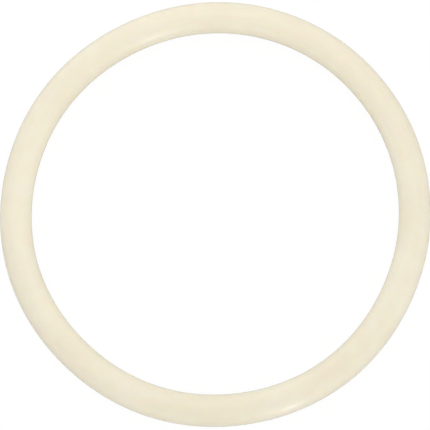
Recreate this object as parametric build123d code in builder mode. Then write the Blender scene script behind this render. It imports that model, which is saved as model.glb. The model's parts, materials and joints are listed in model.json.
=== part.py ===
"""Small round-section gymnastics hoop, lying flat.

The hoop is one length of hollow plastic tube bent into a ring. Its two square-cut
ends meet at a butt seam on +X, over a curved barbed plug that sits inside the bore.
One countersunk drive pin on each side of the seam goes through the wall on the
inside of the ring, where it can't be felt in use, and locks the tube to the plug.

Frame: origin at the centre of the ring, +Z along the ring's axis, +X to the seam.
All sizes in millimetres, all angles in degrees about +Z from +X.
"""

from build123d import *
import os
from math import cos, degrees, radians, sin

SIDES = (1, -1)  # the two sides of the seam: +Y, then -Y

# ------------------------------------------------------------------------ tube
HOOP_OD = 300.0  # across the outside of the hoop
TUBE_OD = 22.0  # the round section the hand holds
TUBE_WALL = 2.0
SEAM_GAP = 0.04  # hairline between the two tube ends, on the centreline
BORE_CHAMFER = 0.6  # lead-in inside each tube end
BORE_CHAMFER_OVERCUT = 0.2  # how far the chamfer cutter reaches into the open bore

TUBE_R = TUBE_OD / 2
BORE_R = TUBE_R - TUBE_WALL
RING_R = HOOP_OD / 2 - TUBE_R  # radius of the tube's centreline
INNER_FACE_R = RING_R - TUBE_R  # radius of the clear opening

# ------------------------------------------------------------------------ plug
PLUG_CLEAR = 0.05  # radial, the solvent line between plug and bore
PLUG_R = BORE_R - PLUG_CLEAR
PLUG_HALF = 38.0  # length each side of the seam, along the centreline
PLUG_LEAD = 1.6  # taper on each end, longer leg of the chamfer
PLUG_LEAD_RATIO = 0.6  # shorter leg over longer leg
CORE_R = 5.2  # lightening pocket in each end
CORE_DEPTH = 18.0
BARBS = 5  # sawtooth grooves each side of the seam
BARB_FIRST = 19.0  # from the seam to the first groove
BARB_PITCH = 3.2
BARB_RAMP = 2.7  # length of each groove's slope, the rest of the pitch is flat crest
BARB_DEPTH = 0.7
BARB_OVERCUT = 0.6  # how far the groove cutter stands outside the plug

# ------------------------------------------------------- pins and their holes
PIN_OFFSET = 12.0  # from the seam to each pin, along the centreline
# depths are measured from the hoop's inside face into the tube
PIN_HOLE_R = 1.50
PIN_HOLE_OVERRUN = 2.0  # the tube's hole runs this far past the wall
PIN_SOCKET = 13.0  # depth of the plug's hole
SINK_R = 2.60
SINK_ANGLE = 90.0
HEAD_CLEAR = 0.04
HEAD_EXCESS = 0.5  # head left proud of the face, then trimmed off
PIN_SHANK_R = 1.46
PIN_RINGS = 4  # shallow sawtooth rings round the shank
PIN_RING_START = 4.6
PIN_RING_PITCH = 1.2
PIN_RING_DEPTH = 0.30
PIN_REACH = 12.5  # depth of the tip
PIN_TIP_LENGTH = 1.2
PIN_TIP_R = 0.5


def angle_along(length):
    """Angle at the ring's centre for a length along the tube's centreline."""
    return degrees(length / RING_R)


def section_plane(angle):
    """Plane across the tube, origin on the ring's axis: x away from the axis, y up."""
    a = radians(angle)
    return Plane(origin=(0, 0, 0), x_dir=(cos(a), sin(a), 0), z_dir=(sin(a), -cos(a), 0))


def tangent_plane(angle, radius=RING_R):
    """Level plane at a radius: x along the tangent, clockwise; y away from the axis."""
    a = radians(angle)
    return Plane(
        origin=(radius * cos(a), radius * sin(a), 0),
        x_dir=(sin(a), -cos(a), 0),
        z_dir=(0, 0, 1),
    )


def pin_plane(side):
    """Plane at a pin's place on the hoop's inside face, facing the ring's axis."""
    a = radians(side * angle_along(PIN_OFFSET))
    return Plane(
        origin=(INNER_FACE_R * cos(a), INNER_FACE_R * sin(a), 0),
        x_dir=(sin(a), -cos(a), 0),
        z_dir=(-cos(a), -sin(a), 0),
    )


def make_tube():
    """Hollow ring with a hairline seam and two countersunk pin holes."""
    gap_angle = angle_along(SEAM_GAP)
    with BuildPart() as tube:
        with BuildSketch(section_plane(gap_angle / 2)):
            with Locations((RING_R, 0)):
                Circle(TUBE_R)
                Circle(BORE_R, mode=Mode.SUBTRACT)
        revolve(axis=Axis.Z, revolution_arc=360.0 - gap_angle)

        # one V-shaped cut across the seam gives both ends their lead-in for the plug
        seam = tangent_plane(0)
        half_width = BORE_CHAMFER + BORE_CHAMFER_OVERCUT
        with BuildSketch(seam):
            with BuildLine():
                Polyline(
                    (-half_width, BORE_R - BORE_CHAMFER_OVERCUT),
                    (0, BORE_R + BORE_CHAMFER),
                    (half_width, BORE_R - BORE_CHAMFER_OVERCUT),
                    close=True,
                )
            make_face()
        revolve(axis=Axis(seam.origin, seam.x_dir), revolution_arc=360.0, mode=Mode.SUBTRACT)

        for side in SIDES:
            with Locations(pin_plane(side)):
                CounterSinkHole(
                    radius=PIN_HOLE_R,
                    counter_sink_radius=SINK_R,
                    depth=TUBE_WALL + PIN_HOLE_OVERRUN,
                    counter_sink_angle=SINK_ANGLE,
                )
    return tube.part


def make_plug():
    """Curved plug with tapered, pocketed ends, barbs and two pin sockets."""
    end_angle = angle_along(PLUG_HALF)
    with BuildPart() as plug:
        with BuildSketch(section_plane(-end_angle)):
            with Locations((RING_R, 0)):
                Circle(PLUG_R)
        revolve(axis=Axis.Z, revolution_arc=2 * end_angle)
        chamfer(
            plug.edges().filter_by(GeomType.CIRCLE), PLUG_LEAD, PLUG_LEAD * PLUG_LEAD_RATIO
        )

        # lightening pockets, running from each end back towards the seam
        for side in SIDES:
            with BuildSketch(section_plane(side * end_angle)):
                with Locations((RING_R, 0)):
                    Circle(CORE_R)
            revolve(
                axis=Axis.Z,
                revolution_arc=-side * angle_along(CORE_DEPTH),
                mode=Mode.SUBTRACT,
            )

        # sawtooth grooves: each leaves a barb whose steep face looks back to the seam
        for side in SIDES:
            for step in range(BARBS):
                groove = tangent_plane(side * angle_along(BARB_FIRST + step * BARB_PITCH))
                with BuildSketch(groove):
                    with BuildLine():
                        Polyline(
                            (0, PLUG_R),
                            (0, PLUG_R + BARB_OVERCUT),
                            (-side * BARB_RAMP, PLUG_R + BARB_OVERCUT),
                            (-side * BARB_RAMP, PLUG_R - BARB_DEPTH),
                            close=True,
                        )
                    make_face()
                revolve(
                    axis=Axis(groove.origin, groove.x_dir),
                    revolution_arc=360.0,
                    mode=Mode.SUBTRACT,
                )

        for side in SIDES:
            with Locations(pin_plane(side)):
                Hole(radius=PIN_HOLE_R, depth=PIN_SOCKET)
    return plug.part


def make_pin(side):
    """Barbed countersunk pin on one side of the seam."""
    face = pin_plane(side)
    head_r = SINK_R - HEAD_CLEAR
    ring_depths = [PIN_RING_START + step * PIN_RING_PITCH for step in range(PIN_RINGS + 1)]

    # half profile: (radius, depth into the tube)
    profile = [
        (0, -HEAD_EXCESS),
        (head_r + HEAD_EXCESS, -HEAD_EXCESS),
        (PIN_SHANK_R, head_r - PIN_SHANK_R),  # a 90 degree cone is as deep as it narrows
    ]
    for depth in ring_depths[:-1]:
        profile += [(PIN_SHANK_R, depth), (PIN_SHANK_R - PIN_RING_DEPTH, depth)]
    profile += [
        (PIN_SHANK_R, ring_depths[-1]),
        (PIN_SHANK_R, PIN_REACH - PIN_TIP_LENGTH),
        (PIN_TIP_R, PIN_REACH),
        (0, PIN_REACH),
    ]

    with BuildPart() as pin:
        with BuildSketch(tangent_plane(side * angle_along(PIN_OFFSET), INNER_FACE_R)):
            with BuildLine():
                Polyline(*profile, close=True)
            make_face()
        revolve(axis=Axis(face.origin, face.z_dir), revolution_arc=360.0)
        # the head is trimmed flush with the outside of the tube
        Torus(RING_R, TUBE_R, mode=Mode.INTERSECT)
    return pin.part


pieces = {
    "hoop_tube": make_tube(),
    "joint_plug": make_plug(),
    "joint_pin_left": make_pin(1),
    "joint_pin_right": make_pin(-1),
}

os.makedirs("parts", exist_ok=True)
for name, piece in pieces.items():
    piece.label = name
    export_step(piece, f"parts/{name}.step")
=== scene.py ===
"""A plain cream gymnastics hoop: a bent plastic tube whose two ends meet over a hidden plug.

The hoop lies flat in XY with its centre at the origin and its butt seam at +X. One pin stands
on each side of the seam, the left one towards +Y. Both are sunk into the face of the tube that
looks at the hoop's centre and point away from it. Lengths are in metres unless marked mm.

A ring angle turns about Z from the seam. A section angle turns about the tube's centreline:
0 points away from the hoop's centre, a quarter turn points up.
"""

import json
import math

import bmesh
import bpy
import numpy as np
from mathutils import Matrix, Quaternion, Vector


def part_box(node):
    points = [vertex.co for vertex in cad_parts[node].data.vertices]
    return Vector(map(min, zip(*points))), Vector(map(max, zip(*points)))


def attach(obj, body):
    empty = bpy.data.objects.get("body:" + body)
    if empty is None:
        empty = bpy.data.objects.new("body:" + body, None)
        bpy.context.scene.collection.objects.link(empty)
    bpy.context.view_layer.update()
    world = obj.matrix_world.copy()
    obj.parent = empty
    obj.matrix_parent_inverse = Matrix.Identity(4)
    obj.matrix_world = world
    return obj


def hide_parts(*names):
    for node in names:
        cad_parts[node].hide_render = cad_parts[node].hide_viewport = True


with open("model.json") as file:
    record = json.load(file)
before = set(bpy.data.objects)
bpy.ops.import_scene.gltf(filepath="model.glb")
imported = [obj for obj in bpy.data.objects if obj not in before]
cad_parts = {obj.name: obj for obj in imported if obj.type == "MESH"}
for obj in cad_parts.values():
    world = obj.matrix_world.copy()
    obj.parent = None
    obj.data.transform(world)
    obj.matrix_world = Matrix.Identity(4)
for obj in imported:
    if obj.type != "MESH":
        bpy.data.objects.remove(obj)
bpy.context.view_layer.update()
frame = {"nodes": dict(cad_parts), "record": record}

# ----------------------------------------------------------------------- sizes
clip = next(m for m in frame["record"]["mounts"] if m["name"] == "clip_span")
TUBE_R = clip["dims"]["r_mm"] / 1000.0
RING_R = math.hypot(clip["pos_m"][0], clip["pos_m"][1])
FACE_R = RING_R - TUBE_R  # the inside face of the hoop
PLUG_CLEARANCE = 0.00005
BORE_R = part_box("joint_plug")[1].z + PLUG_CLEARANCE

PIN_FROM_SEAM = 0.012  # along the tube
PIN_ANGLE = PIN_FROM_SEAM / RING_R
HOLE_R = 0.0015
SINK_R = 0.0026  # the 90 degree countersink, at the inside face
HEAD_R = 0.00256
SHANK_R = 0.00146
PIN_REACH = 0.0125  # depth of the pin's tip past the inside face
HEAD_SUNK = 0.000012  # the head sits a hair below the tube's skin

# mesh density
SECTION_CELLS = 96  # round the tube's section
PATCH_CELLS = 6  # half width of the patch of mesh round each pin hole
STEPS_TO_PIN = 16  # fine steps from the seam to a pin
FINE_STEPS = 26  # fine steps on each side of the seam
SKIN_STEPS = 470  # steps round the rest of the ring, outer skin
BORE_STEPS = 250  # the same for the bore
PIN_SIDES = 64
# blend from the square edge of a patch (0) to its round hole (1)
PATCH_BLENDS = (0.22, 0.43, 0.62, 0.78, 0.90, 1.0)
# extra mesh lines on each side of the weld, mm from the seam
WELD_LINES_MM = (0.035, 0.075, 0.12, 0.17, 0.23, 0.30, 0.38, 0.46, 0.55)


# ---------------------------------------------------- the shape of a real tube
def wrap(angle):
    """The same angle between minus and plus half a turn."""
    return (angle + math.pi) % (2 * math.pi) - math.pi


def away_from_seam(ring):
    """0 near the butt seam, where the plug holds the tube true, rising smoothly to 1."""
    true_to, rise = 0.32, 0.35  # radians
    x = np.clip((np.abs(wrap(ring)) - true_to) / rise, 0.0, 1.0)
    return x * x * (3 - 2 * x)


# waves of the centreline: swing in mm, wave, waves round the ring
CENTRELINE_WAVES = (
    (-0.29, np.cos, 3), (0.20, np.sin, 3), (0.13, np.cos, 6), (-0.10, np.cos, 7), (-0.06, np.sin, 7),
)


def out_of_round(ring):
    """How far the bent tube's centreline strays from a true circle."""
    stray = sum(swing * wave(count * ring) for swing, wave, count in CENTRELINE_WAVES)
    return stray * 0.001 * away_from_seam(ring)


def draw_ripple(ring, section):
    """Faint swells of the skin. Each term is a height in mm times a wave over the two angles."""
    swell = (
        0.010 * np.sin(17 * ring + 1.3 + 0.9 * np.sin(section))
        + 0.007 * np.sin(29 * ring - 0.7 + 1.4 * np.cos(section + 0.5))
        + 0.006 * np.sin(53 * ring + 2.1 * np.sin(section + 1.1))
        + 0.008 * np.sin(2 * section + 3 * ring + 0.4)
        + 0.004 * np.sin(5 * section - 2 * ring + 2.0)
    )
    return swell * 0.001 * away_from_seam(ring)


def weld_line(ring, section):
    """The weld over the seam: a hair of a sunk line between two hairs of raised edge."""
    groove_depth, groove_width = 0.014, 0.13  # mm, as are all the sizes here
    edge_height, edge_offset, edge_width = 0.006, 0.38, 0.16
    wander = 0.05 * np.sin(3 * section + 0.6) + 0.03 * np.sin(8 * section)
    along = wrap(ring) * RING_R * 1000.0 - wander
    return 0.001 * (
        -groove_depth * np.exp(-((along / groove_width) ** 2))
        + edge_height * np.exp(-(((np.abs(along) - edge_offset) / edge_width) ** 2))
    )


def on_tube(ring, section, radius, outside):
    """Points of the tube's outer skin, with its ripple and weld, or of its smooth bore."""
    if outside:
        radius = radius + (draw_ripple(ring, section) + weld_line(ring, section))
    reach = RING_R + out_of_round(ring) + radius * np.cos(section)
    return np.stack([reach * np.cos(ring), reach * np.sin(ring), radius * np.sin(section)], -1)


# ------------------------------------------------------------------ pin frames
def skin_at(along, up, radius):
    """Ring angle from the pin, section angle and depth past the inside face, at an offset."""
    section = math.pi - np.arcsin(np.clip(up / radius, -1, 1))
    reach = RING_R + radius * np.cos(section)
    x = np.sqrt(reach**2 - along**2)
    return np.arctan2(along, x), section, x - FACE_R


def skin_depth(radius, cosine, sine):
    """Depth of the outer skin past the inside face, at a radius from the pin's axis."""
    return skin_at(radius * cosine, radius * sine, TUBE_R)[2]


def pin_point(pin_angle, along, up, depth):
    """Points from offsets along the tube, up, and in depth past the inside face."""
    inward = np.array([math.cos(pin_angle), math.sin(pin_angle), 0.0])
    tangent = np.array([-math.sin(pin_angle), math.cos(pin_angle), 0.0])
    upward = np.array([0.0, 0.0, 1.0])
    along, up, depth = (
        v[..., None] for v in np.broadcast_arrays(*(np.asarray(v, float) for v in (along, up, depth)))
    )
    return (FACE_R + depth) * inward + along * tangent + up * upward


def cone_rim(cosine, sine, face_radius):
    """Radius at which a 90 degree cone meets the tube's skin, in each direction."""
    rim = np.full_like(cosine, face_radius)
    for _ in range(40):
        rim = face_radius - np.maximum(skin_depth(rim, cosine, sine), 0.0)
    return rim


# ------------------------------------------------------------------- hoop tube
class Builder:
    """Gathers points and faces, then makes a closed mesh of them."""

    def __init__(self):
        self.verts, self.faces = [], []

    def add(self, points):
        """Adds points and returns their indices."""
        points = np.asarray(points, float).reshape(-1, 3)
        first = len(self.verts)
        self.verts.extend(map(tuple, points))
        return list(range(first, first + len(points)))

    def band(self, start, end, flip=False):
        """Quads between two closed loops of the same length."""
        count = len(start)
        for k in range(count):
            after = (k + 1) % count
            quad = (start[k], start[after], end[after], end[k])
            self.faces.append(quad[::-1] if flip else quad)

    def mesh(self, name):
        """The smooth mesh, with every face turned outward."""
        mesh = bpy.data.meshes.new(name)
        mesh.from_pydata(self.verts, [], self.faces)
        mesh.update()
        bm = bmesh.new()
        bm.from_mesh(mesh)
        if bm.calc_volume(signed=True) < 0:
            bmesh.ops.reverse_faces(bm, faces=bm.faces)
        bm.to_mesh(mesh)
        bm.free()
        mesh.shade_smooth()
        return mesh


def ring_angles(coarse_steps, weld, step):
    """Ring angles of the mesh lines: fine by the seam and pins, coarser round the rest."""
    fine = [k * step for k in range(-FINE_STEPS, FINE_STEPS + 1)]
    if weld:
        fine += [sign * s * 0.001 / RING_R for s in WELD_LINES_MM for sign in (-1, 1)]
    fine = sorted(fine)
    rest = np.linspace(fine[-1], fine[0] + 2 * math.pi, coarse_steps + 1)[1:-1]
    return np.array(fine + list(rest))


def add_skin(build, radius, coarse_steps, outside):
    """One closed skin of the tube. Returns each pin hole's loop and its directions, by side."""
    step = PIN_ANGLE / STEPS_TO_PIN
    rings = ring_angles(coarse_steps, outside, step)
    inward = SECTION_CELLS // 2  # the column that faces the hoop's centre
    sections = math.pi + (np.arange(SECTION_CELLS) - inward) * (2 * math.pi / SECTION_CELLS)
    low, high = inward - PATCH_CELLS, inward + PATCH_CELLS

    patches = {}  # first and last mesh line of each pin's patch
    no_vert, no_face = set(), set()
    for side in (1, -1):
        first, last = (
            int(np.argmin(np.abs(rings - (side * PIN_ANGLE + reach * step))))
            for reach in (-PATCH_CELLS, PATCH_CELLS)
        )
        patches[side] = first, last
        no_vert |= {(i, j) for i in range(first + 1, last) for j in range(low + 1, high)}
        no_face |= {(i, j) for i in range(first, last) for j in range(low, high)}

    points = on_tube(*np.meshgrid(rings, sections, indexing="ij"), radius, outside)
    cells = [(i, j) for i in range(len(rings)) for j in range(SECTION_CELLS)]
    grid = {cell: build.add(points[cell])[0] for cell in cells if cell not in no_vert}
    for i, j in cells:
        if (i, j) in no_face:
            continue
        i_next, j_next = (i + 1) % len(rings), (j + 1) % SECTION_CELLS
        quad = (grid[i, j], grid[i_next, j], grid[i_next, j_next], grid[i, j_next])
        build.faces.append(quad if outside else quad[::-1])

    holes = {}
    for side, (first, last) in patches.items():
        edge = (
            [(i, low) for i in range(first, last)]
            + [(last, j) for j in range(low, high)]
            + [(i, high) for i in range(last, first, -1)]
            + [(first, j) for j in range(high, low, -1)]
        )
        edge_ring = np.array([rings[i] for i, j in edge])
        edge_section = np.array([sections[j] for i, j in edge])
        pin_angle = side * PIN_ANGLE
        along = (RING_R + radius * np.cos(edge_section)) * np.sin(edge_ring - pin_angle)
        direction = np.arctan2(radius * np.sin(edge_section), along)
        cosine, sine = np.cos(direction), np.sin(direction)
        if outside:
            rim_margin = 0.00009  # leaves room for the rounded rim
            hole = cone_rim(cosine, sine, SINK_R) + rim_margin
        else:
            hole = np.full_like(direction, HOLE_R)
        turn, hole_section, _ = skin_at(hole * cosine, hole * sine, radius)
        loop = [grid[cell] for cell in edge]
        for blend in PATCH_BLENDS:
            ring = edge_ring * (1 - blend) + (pin_angle + turn) * blend
            section = edge_section * (1 - blend) + hole_section * blend
            inner_loop = build.add(on_tube(ring, section, radius, outside))
            build.band(loop, inner_loop, flip=not outside)
            loop = inner_loop
        holes[side] = loop, direction
    return holes


def add_pin_hole(build, side, skin_hole, bore_hole):
    """Joins the outer skin to the bore through a rounded rim, a countersink and a plain hole."""
    loop, direction = skin_hole
    bore_loop, bore_direction = bore_hole
    cosine, sine = np.cos(direction), np.sin(direction)
    rim = cone_rim(cosine, sine, SINK_R)
    rim_depth = skin_depth(rim, cosine, sine)
    sink_depth = SINK_R - HOLE_R
    cone_top, cone_top_depth = rim - 0.00009, rim_depth + 0.00011
    # radius and depth of each ring of points
    stations = [
        (rim + 0.00003, rim_depth + 0.000012),
        (rim - 0.00003, rim_depth + 0.00005),
        (cone_top, cone_top_depth),
    ]
    for down in (0.5, 1.0):
        stations.append(
            (
                cone_top * (1 - down) + (HOLE_R + 0.00002) * down,
                cone_top_depth * (1 - down) + (sink_depth - 0.00002) * down,
            )
        )
    stations.append((HOLE_R, sink_depth + 0.00003))
    for radius, depth in stations:
        points = pin_point(side * PIN_ANGLE, radius * cosine, radius * sine, depth)
        next_loop = build.add(points)
        build.band(loop, next_loop)
        loop = next_loop
    # both loops have the same count, so join them from the nearest direction on
    start = np.argmin(np.abs(wrap(bore_direction - direction[0])))
    build.band(loop, bore_loop[start:] + bore_loop[:start])


def make_tube():
    build = Builder()
    skin_holes = add_skin(build, TUBE_R, SKIN_STEPS, outside=True)
    bore_holes = add_skin(build, BORE_R, BORE_STEPS, outside=False)
    for side in (1, -1):
        add_pin_hole(build, side, skin_holes[side], bore_holes[side])
    return build.mesh("hoop_tube_skin")


# ------------------------------------------------------------------------ pins
HEAD_RINGS = (0.18, 0.4, 0.62, 0.82, 0.955)  # rings on the head, as shares of its rim
# four sawtooth grooves round the shank
GROOVES, FIRST_GROOVE, GROOVE_PITCH = 4, 0.0046, 0.0012
# one groove: cut below the shank's radius, depth past the groove's top
GROOVE = (
    (0.0, -0.00003), (0.00003, 0.0), (0.00028, 0.00002), (0.00026, 0.0001), (0.00003, 0.00112),
)
# below the grooves: radius, depth past the inside face
PIN_END = (
    (SHANK_R, 0.0095),
    (SHANK_R, PIN_REACH - 0.00125),
    (SHANK_R - 0.00006, PIN_REACH - 0.00114),
    (0.00056, PIN_REACH - 0.00006),
    (0.00046, PIN_REACH),
    (0.0002, PIN_REACH + 0.00001),
)


def make_pin(side, name):
    """A countersunk head that follows the tube's skin, a grooved shank and a tapered tip."""
    build = Builder()
    pin_angle = side * PIN_ANGLE
    direction = np.arange(PIN_SIDES) * 2 * math.pi / PIN_SIDES
    cosine, sine = np.cos(direction), np.sin(direction)
    rim = cone_rim(cosine, sine, HEAD_R)
    rim_depth = skin_depth(rim, cosine, sine)

    centre_depth = skin_depth(0.0, 1.0, 0.0) + HEAD_SUNK
    centre = build.add(pin_point(pin_angle, 0.0, 0.0, centre_depth))[0]

    # radius and depth of each ring of points, from the head to the tip
    stations = []
    for share in HEAD_RINGS:
        radius = rim * share
        edge_fall = 0.00001 * share**6
        stations.append((radius, skin_depth(radius, cosine, sine) + HEAD_SUNK + edge_fall))
    neck = HEAD_R - SHANK_R  # depth at which the cone meets the shank
    cone_top, cone_top_depth = rim - 0.00013, rim_depth + 0.00013
    stations += [
        (rim - 0.00007, rim_depth + 0.00002),
        (rim - 0.00006, rim_depth + 0.00005),
        (cone_top, cone_top_depth),
        ((cone_top + SHANK_R + 0.00004) / 2, (cone_top_depth + neck - 0.00004) / 2),
        (SHANK_R + 0.00002, neck - 0.00002),
        (SHANK_R, neck + 0.00004),
    ]
    for k in range(GROOVES):
        top = FIRST_GROOVE + GROOVE_PITCH * k
        stations += [(SHANK_R - cut, top + depth) for cut, depth in GROOVE]
    stations += PIN_END
    loops = [
        build.add(pin_point(pin_angle, radius * cosine, radius * sine, depth))
        for radius, depth in stations
    ]
    tip = build.add(pin_point(pin_angle, 0.0, 0.0, PIN_END[-1][1]))[0]

    for upper, lower in zip(loops, loops[1:]):
        build.band(upper, lower, flip=True)
    first, last = loops[0], loops[-1]
    for k in range(PIN_SIDES):
        after = (k + 1) % PIN_SIDES
        build.faces.append((centre, first[k], first[after]))
        build.faces.append((tip, last[after], last[k]))
    return build.mesh(name)


def place(name, mesh, node, material):
    ob = bpy.data.objects.new(name, mesh)
    bpy.context.scene.collection.objects.link(ob)
    mesh.materials.append(material)
    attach(ob, "root")
    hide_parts(node)


# ------------------------------------------------------------------- materials
class Nodes:
    """A new material, with helpers that write its node tree as expressions."""

    def __init__(self, name):
        self.material = bpy.data.materials.new(name)
        self.material.use_nodes = True
        self.tree = self.material.node_tree
        self.tree.nodes.clear()
        self.out = self.tree.nodes.new("ShaderNodeOutputMaterial")

    def node(self, kind, **settings):
        node = self.tree.nodes.new(kind)
        for key, value in settings.items():
            setattr(node, key, value)
        return node

    def link(self, source, target):
        self.tree.links.new(source, target)

    def set(self, socket, value):
        if isinstance(value, bpy.types.NodeSocket):
            self.link(value, socket)
        else:
            socket.default_value = value

    def math(self, operation, *values):
        node = self.node("ShaderNodeMath", operation=operation)
        for socket, value in zip(node.inputs, values):
            self.set(socket, value)
        return node.outputs[0]

    def add(self, first, second):
        return self.math("ADD", first, second)

    def mul(self, first, second):
        return self.math("MULTIPLY", first, second)

    def combine(self, *values):
        node = self.node("ShaderNodeCombineXYZ")
        for socket, value in zip(node.inputs, values):
            self.set(socket, value)
        return node.outputs[0]

    def noise(self, vector, scale, detail, rough, w=None, distortion=0.0):
        node = self.node("ShaderNodeTexNoise", noise_dimensions="3D" if w is None else "4D")
        self.set(node.inputs["Vector"], vector)
        if w is not None:
            self.set(node.inputs["W"], w)
        node.inputs["Scale"].default_value = scale
        node.inputs["Detail"].default_value = detail
        node.inputs["Roughness"].default_value = rough
        node.inputs["Distortion"].default_value = distortion
        return node.outputs["Fac"]

    def ramp(self, value, span, to=(0.0, 1.0), smooth=True):
        """Maps the span of the value to another, held at both ends."""
        kind = "SMOOTHSTEP" if smooth else "LINEAR"
        node = self.node("ShaderNodeMapRange", interpolation_type=kind)
        self.set(node.inputs["Value"], value)
        for key, limit in zip(("From Min", "From Max", "To Min", "To Max"), (*span, *to)):
            node.inputs[key].default_value = limit
        return node.outputs["Result"]

    def mix(self, fac, first, second):
        node = self.node("ShaderNodeMix", data_type="RGBA", blend_type="MIX")
        # inputs 6 and 7 are the two colours
        for index, value in ((0, fac), (6, first), (7, second)):
            self.set(node.inputs[index], value)
        return node.outputs[2]

    def shade(self, colour, factor):
        """The colour times a grey factor."""
        node = self.node("ShaderNodeVectorMath", operation="SCALE")
        self.set(node.inputs[0], colour)
        self.set(node.inputs["Scale"], factor)
        return node.outputs[0]


def tube_coordinates(mat, pos):
    """x and y, and the cosine and sine of the ring angle and the section angle."""
    split = mat.node("ShaderNodeSeparateXYZ")
    mat.link(pos, split.inputs[0])
    x, y, z = split.outputs
    reach = mat.math("SQRT", mat.add(mat.mul(x, x), mat.mul(y, y)))
    across = mat.math("SUBTRACT", reach, RING_R)
    radius = mat.math("SQRT", mat.add(mat.mul(across, across), mat.mul(z, z)))
    radius = mat.math("MAXIMUM", radius, 1e-6)  # never divides by zero
    ring = mat.math("DIVIDE", x, reach), mat.math("DIVIDE", y, reach)
    section = mat.math("DIVIDE", across, radius), mat.math("DIVIDE", z, radius)
    return x, y, ring, section


def melt_tone(mat, pos, deep, pale):
    """Slow drift of colour through the plastic."""
    drift = mat.noise(pos, scale=14.0, detail=3.0, rough=0.55)
    cloud = mat.noise(pos, scale=90.0, detail=4.0, rough=0.6)
    tone = mat.add(mat.mul(drift, 0.65), mat.mul(cloud, 0.35))
    return mat.mix(mat.ramp(tone, (0.36, 0.64)), deep + (1.0,), pale + (1.0,))


def grain(mat, line, speck):
    """Grey factor on the colour, from the lines and the specks."""
    return mat.add(
        mat.ramp(line, (0.3, 0.7), to=(0.992, 1.006), smooth=False),
        mat.ramp(speck, (0.3, 0.7), to=(-0.004, 0.004), smooth=False),
    )


def add_dust(mat, pos, colour):
    """Rare grey-brown specks caught in the surface."""
    cells = mat.node("ShaderNodeTexVoronoi", feature="F1")
    mat.link(pos, cells.inputs["Vector"])
    cells.inputs["Scale"].default_value = 210.0
    chance = mat.node("ShaderNodeSeparateColor")
    mat.link(cells.outputs["Color"], chance.inputs[0])
    rare = mat.math("GREATER_THAN", chance.outputs[0], 0.965)
    near = mat.ramp(cells.outputs["Distance"], (0.035, 0.075), to=(1.0, 0.0))
    strength = 0.16
    dust = mat.mul(mat.mul(rare, near), strength)
    return mat.mix(dust, colour, (0.42, 0.34, 0.24, 1.0))


def finish(mat, bsdf, colour, rough, height, scatter):
    """Joins up the shader. The height is in metres, scatter is the subsurface scale."""
    mat.link(colour, bsdf.inputs["Base Color"])
    mat.link(rough, bsdf.inputs["Roughness"])
    bump = mat.node("ShaderNodeBump")
    bump.inputs["Strength"].default_value = 1.0
    bump.inputs["Distance"].default_value = 1.0
    mat.link(height, bump.inputs["Height"])
    mat.link(bump.outputs[0], bsdf.inputs["Normal"])
    bsdf.inputs["IOR"].default_value = 1.5
    bsdf.inputs["Subsurface Weight"].default_value = 0.6
    bsdf.inputs["Subsurface Radius"].default_value = (1.0, 0.72, 0.42)
    bsdf.inputs["Subsurface Scale"].default_value = scatter
    mat.link(bsdf.outputs[0], mat.out.inputs["Surface"])
    return mat.material


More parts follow.
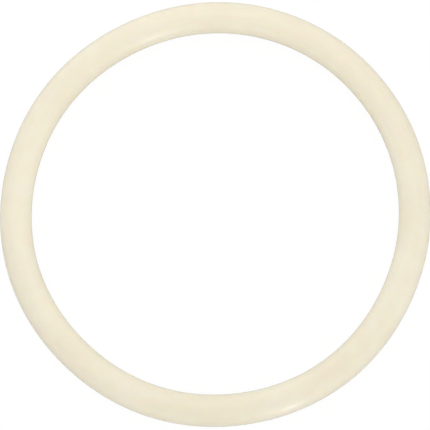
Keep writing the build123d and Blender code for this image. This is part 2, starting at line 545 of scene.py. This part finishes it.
def tube_plastic(name, deep, pale, roughness, scatter):
    """Cream plastic with flow lines, orange peel, a rubbed band, fine scratches and dust."""
    mat = Nodes(name)
    bsdf = mat.node("ShaderNodeBsdfPrincipled")
    pos = mat.node("ShaderNodeTexCoord").outputs["Object"]
    x, y, (cos_ring, sin_ring), (cos_section, sin_section) = tube_coordinates(mat, pos)
    colour = melt_tone(mat, pos, deep, pale)

    # flow lines change round the section and only slowly along the tube
    slowness = 0.35
    flow_at = mat.combine(cos_section, sin_section, mat.mul(cos_ring, slowness))
    slow = mat.mul(sin_ring, slowness)
    lines = mat.noise(flow_at, scale=9.0, detail=5.0, rough=0.62, w=slow)
    fine = mat.noise(flow_at, scale=46.0, detail=3.0, rough=0.7, w=slow)
    line = mat.add(mat.mul(lines, 0.6), mat.mul(fine, 0.4))

    speck = mat.noise(pos, scale=520.0, detail=5.0, rough=0.7)
    peel = mat.noise(pos, scale=950.0, detail=2.0, rough=0.5)
    micro = mat.noise(pos, scale=5200.0, detail=2.0, rough=0.6)
    factor = grain(mat, line, speck)
    colour = add_dust(mat, pos, colour)

    # rubbed band on the outer equator
    patchy = mat.noise(pos, scale=60.0, detail=5.0, rough=0.7)
    band = mat.mul(mat.ramp(cos_section, (0.86, 0.99)), mat.ramp(patchy, (0.42, 0.66)))

    # short scratches: thin contours of a noise, kept in a few patches
    scratch_at = mat.combine(
        mat.mul(cos_section, 5.0),
        mat.mul(sin_section, 5.0),
        mat.mul(mat.math("ARCTAN2", sin_ring, cos_ring), 6.0),
    )
    hair = mat.noise(scratch_at, scale=14.0, detail=2.0, rough=0.6, distortion=0.4)
    from_contour = mat.math("ABSOLUTE", mat.math("SUBTRACT", hair, 0.5))
    hair = mat.ramp(from_contour, (0.0, 0.006), to=(1.0, 0.0))
    patchy = mat.noise(pos, scale=120.0, detail=3.0, rough=0.6)
    hair = mat.mul(hair, mat.ramp(patchy, (0.56, 0.68)))

    # wear roughens the skin, and changes its colour a little
    scuff = mat.math("MAXIMUM", mat.mul(band, 0.5), mat.mul(hair, 0.5))
    rough = mat.add(
        mat.add(roughness - 0.03, mat.ramp(line, (0.35, 0.65), to=(0.0, 0.05))),
        mat.mul(scuff, 0.16),
    )
    colour = mat.mix(mat.mul(band, 0.035), colour, (0.52, 0.47, 0.38, 1.0))
    factor = mat.add(factor, mat.mul(hair, 0.012))

    # the weld's own line, a shade deeper, on the +X side only
    seam = mat.ramp(mat.math("ABSOLUTE", y), (0.00004, 0.00022), to=(1.0, 0.0))
    seam = mat.mul(seam, mat.math("GREATER_THAN", x, 0.0))
    factor = mat.math("SUBTRACT", factor, mat.mul(seam, 0.035))

    # relief of each layer, in metres
    height = mat.add(
        mat.add(mat.mul(line, 0.000022), mat.mul(peel, 0.000010)),
        mat.math("SUBTRACT", mat.mul(micro, 0.0000022), mat.mul(hair, 0.000004)),
    )

    # the skin scatters light across the tube more than along it
    along = mat.node("ShaderNodeTangent", direction_type="RADIAL", axis="Z")
    mat.link(along.outputs[0], bsdf.inputs["Tangent"])
    bsdf.inputs["Anisotropic"].default_value = 0.72
    bsdf.inputs["Anisotropic Rotation"].default_value = 0.25
    return finish(mat, bsdf, mat.shade(colour, factor), rough, height, scatter)


def solid_plastic(name, deep, pale, roughness, scatter):
    """Plastic of the small parts, with an even grain, orange peel and dust."""
    mat = Nodes(name)
    bsdf = mat.node("ShaderNodeBsdfPrincipled")
    pos = mat.node("ShaderNodeTexCoord").outputs["Object"]
    colour = melt_tone(mat, pos, deep, pale)
    line = mat.noise(pos, scale=700.0, detail=4.0, rough=0.6)
    fine = mat.noise(pos, scale=1500.0, detail=3.0, rough=0.6)
    speck = mat.noise(pos, scale=520.0, detail=5.0, rough=0.7)
    peel = mat.noise(pos, scale=950.0, detail=2.0, rough=0.5)
    factor = grain(mat, line, speck)
    colour = add_dust(mat, pos, colour)
    rough = mat.ramp(speck, (0.3, 0.7), to=(roughness - 0.05, roughness + 0.07))
    height = mat.add(mat.mul(peel, 0.000012), mat.mul(fine, 0.000006))
    return finish(mat, bsdf, mat.shade(colour, factor), rough, height, scatter)


cream = tube_plastic(
    "cream_tube_plastic",
    deep=(0.838, 0.772, 0.616), pale=(0.866, 0.806, 0.660), roughness=0.255, scatter=0.002,
)
pin_cream = solid_plastic(
    "cream_pin_plastic",
    deep=(0.800, 0.725, 0.545), pale=(0.850, 0.780, 0.610), roughness=0.40, scatter=0.001,
)
plug_white = solid_plastic(
    "natural_plug_plastic",
    deep=(0.740, 0.705, 0.610), pale=(0.800, 0.770, 0.690), roughness=0.48, scatter=0.0015,
)

tube_mesh = make_tube()
place("hoop_tube_skin", tube_mesh, "hoop_tube", cream)
for side, label in ((1, "left"), (-1, "right")):
    name = f"pin_{label}_skin"
    place(name, make_pin(side, name), f"joint_pin_{label}", pin_cream)
plug = frame["nodes"]["joint_plug"]
plug.data.materials.clear()
plug.data.materials.append(plug_white)

# ----------------------------------------------------------------------- stage
ROOM = 0.348  # soft light from all round
FLOOR_GLOW = 1.02  # brightness of the floor as the camera sees it
GLOW_SHARE = 0.93  # how far that glow replaces the lit floor
BACKDROP = 0.975  # matches the far floor, so no horizon shows
FLOOR_HALF = 4.0
FLOOR_GAP = 0.00001
FLOOR_GREY = 0.80
SHADED_MIRROR_GREY = 0.60  # painted shade: the floor the tube mirrors is dimmer than the lit floor, standing in for the shaded floor beside the tube, which draws the tube's dark outline
VIEW_TURN = 14.18  # degrees the view is turned clockwise from the hoop's frame, seen from above


def grey(value):
    return (value, value, value, 1.0)


def floor_material():
    mat = Nodes("pale_floor")

    def diffuse(value):
        node = mat.node("ShaderNodeBsdfDiffuse")
        node.inputs["Color"].default_value = grey(value)
        return node.outputs[0]

    def blend(fac, first, second):
        node = mat.node("ShaderNodeMixShader")
        for socket, source in zip(node.inputs, (fac, first, second)):
            mat.link(source, socket)
        return node.outputs[0]

    lit, shaded_mirror_floor = diffuse(FLOOR_GREY), diffuse(SHADED_MIRROR_GREY)
    glow = mat.node("ShaderNodeEmission")
    glow.inputs["Color"].default_value = grey(1.0)
    glow.inputs["Strength"].default_value = FLOOR_GLOW
    rays = mat.node("ShaderNodeLightPath").outputs
    # painted shade: glossy rays see a darker copy of the floor than diffuse rays do, standing in for
    # the shade beside the tube
    ground = blend(rays["Is Glossy Ray"], lit, shaded_mirror_floor)
    seen = blend(mat.mul(rays["Is Camera Ray"], GLOW_SHARE), ground, glow.outputs[0])
    mat.link(seen, mat.out.inputs["Surface"])
    return mat.material


def make_floor():
    mesh = bpy.data.meshes.new("floor")
    z = min(v.co.z for v in tube_mesh.vertices) - FLOOR_GAP
    corners = [(x * FLOOR_HALF, y * FLOOR_HALF, z) for x, y in ((-1, -1), (1, -1), (1, 1), (-1, 1))]
    mesh.from_pydata(corners, [], [(0, 1, 2, 3)])
    floor = bpy.data.objects.new("floor", mesh)
    bpy.context.scene.collection.objects.link(floor)
    mesh.materials.append(floor_material())


def make_world():
    """White room light, with its own brightness where the camera sees it."""
    world = bpy.data.worlds.new("studio")
    bpy.context.scene.world = world
    world.use_nodes = True
    nodes, links = world.node_tree.nodes, world.node_tree.links
    nodes.clear()
    out = nodes.new("ShaderNodeOutputWorld")
    mix = nodes.new("ShaderNodeMixShader")
    rays = nodes.new("ShaderNodeLightPath")
    links.new(rays.outputs["Is Camera Ray"], mix.inputs[0])
    for socket, strength in ((1, ROOM), (2, BACKDROP)):
        background = nodes.new("ShaderNodeBackground")
        background.inputs["Color"].default_value = grey(1.0)
        background.inputs["Strength"].default_value = strength
        links.new(background.outputs[0], mix.inputs[socket])
    links.new(mix.outputs[0], out.inputs["Surface"])


# name, azimuth, elevation (degrees), distance, width, height, power (W)
# azimuths run counter-clockwise from the right of the view
LIGHTS = (
    # close softboxes over the far side of the hoop and overhead
    ("key_softbox", 120, 50, 0.9, 0.8, 0.8, 1.27),
    ("right_softbox", 60, 50, 0.9, 0.8, 0.8, 1.12),
    ("left_softbox", 180, 50, 0.9, 0.8, 0.8, 0.69),
    ("overhead_softbox", 90, 86, 0.8, 0.8, 0.8, 1.05),
    # big diffusers on the near side and the right
    ("front_diffuser", 315, 42, 1.8, 2.0, 2.0, 4.38),
    ("front_diffuser_mid", 270, 42, 1.8, 2.0, 2.0, 3.00),
    ("front_diffuser_left", 225, 42, 1.8, 2.0, 2.0, 1.30),
    ("side_diffuser", 0, 42, 1.8, 2.0, 2.0, 3.75),
    # low fills all round, which keep the sides of the tube light
    ("low_fill_0", 0, 14, 1.6, 1.6, 0.7, 2.20),
    ("low_fill_60", 60, 14, 1.6, 1.6, 0.7, 2.80),
    ("low_fill_120", 120, 14, 1.6, 1.6, 0.7, 4.88),
    ("low_fill_180", 180, 14, 1.6, 1.6, 0.7, 2.18),
    ("low_fill_240", 240, 14, 1.6, 1.6, 0.7, 2.76),
    ("low_fill_300", 300, 14, 1.6, 1.6, 0.7, 3.00),
    # the tall narrow lamp that draws the two short highlights
    ("strip_light", 291.2, 7.8, 2.5, 0.078, 0.60, 3.60),
)


def softbox(name, azimuth, elevation, distance, width, height, power):
    """A rectangular light aimed at the hoop's centre."""
    turn, rise = math.radians(azimuth - VIEW_TURN), math.radians(elevation)
    toward = Vector(
        (math.cos(turn) * math.cos(rise), math.sin(turn) * math.cos(rise), math.sin(rise))
    )
    light = bpy.data.lights.new(name, "AREA")
    light.shape = "RECTANGLE"
    light.size, light.size_y = width, height
    light.energy = power
    ob = bpy.data.objects.new(name, light)
    ob.location = toward * distance
    ob.rotation_mode = "QUATERNION"
    ob.rotation_quaternion = toward.to_track_quat("Z", "Y")
    bpy.context.scene.collection.objects.link(ob)


def make_camera():
    """Looks down on the hoop, almost from overhead, from the -Y side."""
    elevation, distance = math.radians(79.865), 1.2534
    aim = Vector((-0.000485, -0.00297, 0.0))
    camera = bpy.data.cameras.new("camera")
    ob = bpy.data.objects.new("camera", camera)
    bpy.context.scene.collection.objects.link(ob)
    camera.sensor_width = 36.0
    camera.lens = 150.51
    camera.clip_start, camera.clip_end = 0.05, 30.0
    ob.location = (0.0, -distance * math.cos(elevation), distance * math.sin(elevation))
    look = (aim - ob.location).to_track_quat("-Z", "Y")
    ob.rotation_mode = "QUATERNION"
    ob.rotation_quaternion = look @ Quaternion((0.0, 0.0, 1.0), -math.radians(VIEW_TURN))
    bpy.context.scene.camera = ob


make_floor()
make_world()
for entry in LIGHTS:
    softbox(*entry)
make_camera()
bpy.context.scene.view_settings.view_transform = "Standard"
bpy.context.scene.view_settings.look = "None"
